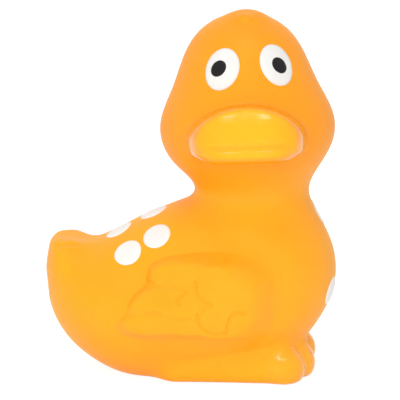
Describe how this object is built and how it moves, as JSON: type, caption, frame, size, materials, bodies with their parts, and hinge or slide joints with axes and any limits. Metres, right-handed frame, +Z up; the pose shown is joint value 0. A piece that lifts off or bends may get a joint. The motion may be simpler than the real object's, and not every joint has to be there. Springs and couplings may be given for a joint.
{
  "type": "dog toy",
  "caption": "Moulded latex duck dog toy that sits on flat feet, head turned to its right, with a broad bill, relief wings, painted eyes and light spots.",
  "frame": {"origin": "on the flat sole that the duck sits on, below the middle of its body", "axes": "+X towards the duck's breast, +Y towards the duck's left side, +Z up; the head is turned to the duck's right, towards -Y"},
  "size_m": [0.0795, 0.0615, 0.0996],
  "materials": {
    "latex": "satin"
  },
  "bodies": {
    "root": {"duck_body": "latex"}
  },
  "joints": []
}
